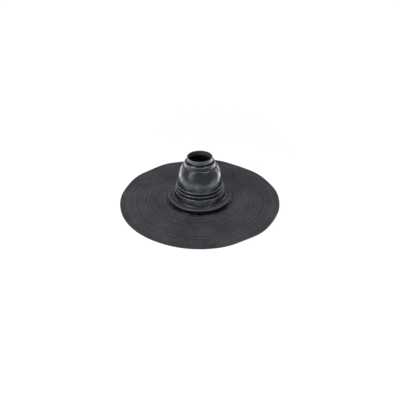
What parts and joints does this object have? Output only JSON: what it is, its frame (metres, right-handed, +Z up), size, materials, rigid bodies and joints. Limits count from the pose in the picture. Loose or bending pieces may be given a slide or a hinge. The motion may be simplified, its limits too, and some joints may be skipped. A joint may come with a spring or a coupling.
{
  "type": "pipe flashing boot",
  "caption": "Round rubber roof flashing: a thin flexible apron with a hollow stepped boot that tapers to a lipped neck, sealing a pipe where it passes through the deck.",
  "frame": {"origin": "on the pipe axis, at the flat underside of the apron", "axes": "+Z up along the pipe axis from the apron to the mouth of the neck; X and Y lie in the deck"},
  "size_m": [0.4, 0.4, 0.1185],
  "materials": {
    "rubber": "glossy on the boot, matte with fine rings on the apron"
  },
  "bodies": {
    "root": {"flashing_boot": "rubber"}
  },
  "joints": []
}
